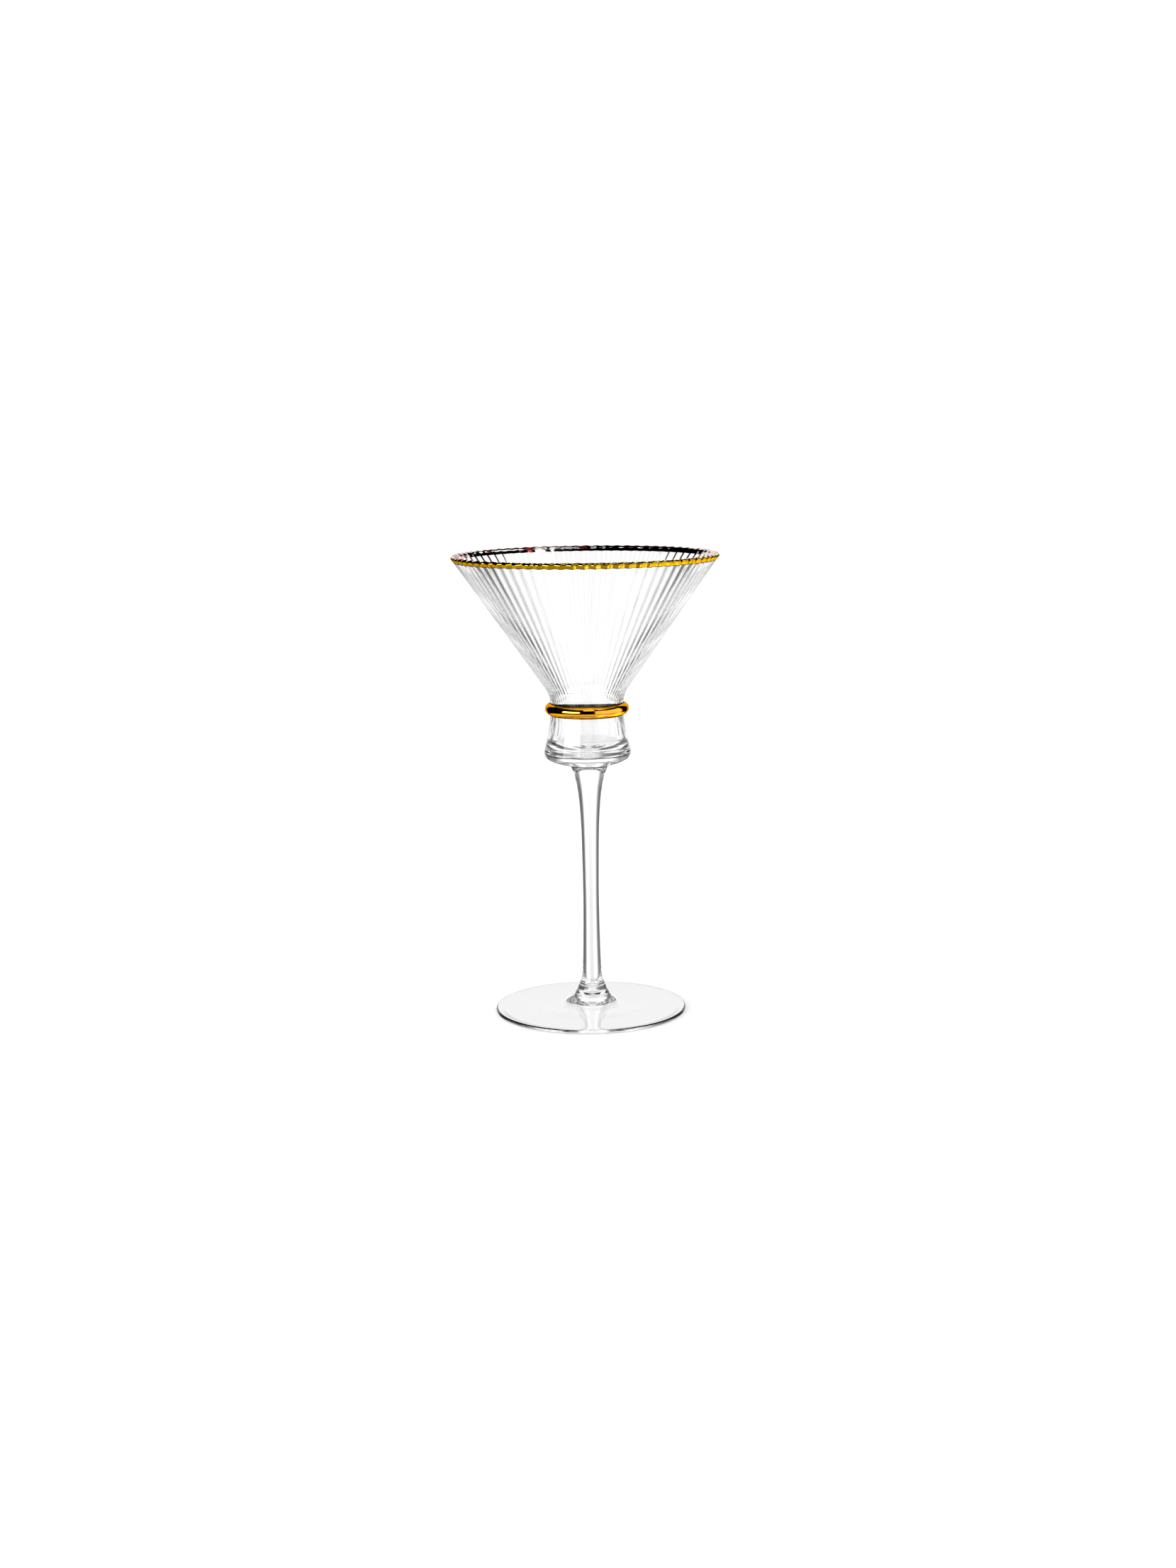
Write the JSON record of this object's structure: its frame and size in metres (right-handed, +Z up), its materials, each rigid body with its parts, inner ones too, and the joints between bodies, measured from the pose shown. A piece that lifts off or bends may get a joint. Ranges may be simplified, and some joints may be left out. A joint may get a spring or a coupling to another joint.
{
  "type": "martini glass",
  "caption": "Stemmed cocktail glass with an upright-ribbed conical bowl, a small round well below a pinched neck, a gilded lip, a gilded neck ring, a slim stem and a disc foot.",
  "frame": {"origin": "on the axis of the glass, in the plane that the foot rests on", "axes": "+Z up along the axis of the glass; the glass is turned about +Z, so X and Y are free"},
  "size_m": [0.11, 0.11, 0.1915],
  "materials": {
    "clear_glass": "clear colourless glass, fire polished",
    "gold": "bright fired gold film"
  },
  "bodies": {
    "root": {"bowl": "clear_glass", "rim_gilding": "gold", "neck_ring": "clear_glass", "neck_ring_gilding": "gold", "stem": "clear_glass", "foot": "clear_glass"}
  },
  "joints": []
}
